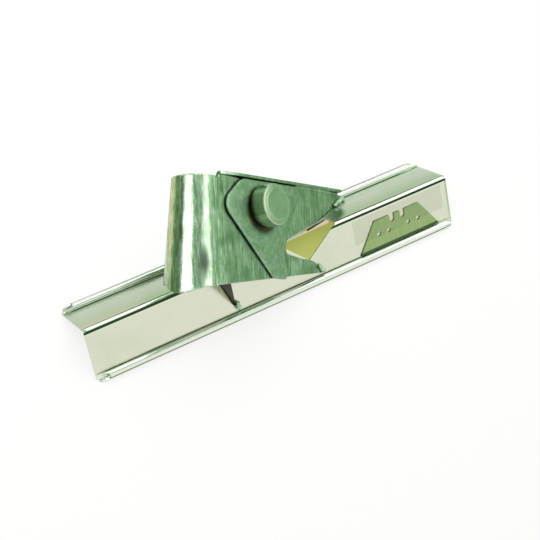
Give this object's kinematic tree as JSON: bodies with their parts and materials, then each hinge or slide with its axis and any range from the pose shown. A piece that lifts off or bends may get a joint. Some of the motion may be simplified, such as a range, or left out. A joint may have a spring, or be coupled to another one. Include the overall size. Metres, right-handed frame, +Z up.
{
  "type": "drywall edge plane",
  "caption": "Hand plane for drywall edges: a sheet-steel V rail with a skewed blade bed, curled palm grip, screw-down clamp plate and a trapezoid blade taped on the rail.",
  "frame": {"origin": "on the surface it stands on, below the middle of its bounding box", "axes": "+X along the rail towards its blade end, +Z up, -Y the side that carries the taped blade"},
  "size_m": [0.254, 0.0734, 0.0786],
  "materials": {
    "polished_rail_steel": "bright rolled",
    "zinc_plated_sheet": "satin zinc plate",
    "turned_steel": "turned and knurled",
    "blade_steel": "ground, oiled",
    "weld_metal": "as welded",
    "clear_tape": "clear film"
  },
  "bodies": {
    "frame": {"rail": "polished_rail_steel", "handle": "zinc_plated_sheet", "rear_strut": "zinc_plated_sheet", "clamp_nut": "turned_steel", "front_weld_near": "weld_metal", "front_weld_far": "weld_metal", "strut_weld_near": "weld_metal", "strut_weld_far": "weld_metal", "strut_weld_top": "weld_metal", "blade": "blade_steel", "blade_tape": "clear_tape"},
    "clamp": {"clamp_plate": "zinc_plated_sheet"},
    "thumb_screw": {"thumb_screw": "turned_steel"}
  },
  "joints": [
    {"name": "clamp_lift", "type": "slide", "parent": "frame", "child": "clamp", "axis": [0.4545, -0.4545, 0.766], "range_m": [0, 0.003]},
    {"name": "thumb_screw_turn", "type": "hinge", "parent": "clamp", "child": "thumb_screw", "pos_m": [-0.00645, 0.00711, 0.04701], "axis": [0.4545, -0.4545, 0.766], "range_deg": [0, 1080]}
  ],
  "couplings": [
    {"joint": "thumb_screw_turn", "follows": "clamp_lift", "rad_per_m": 6283}
  ]
}
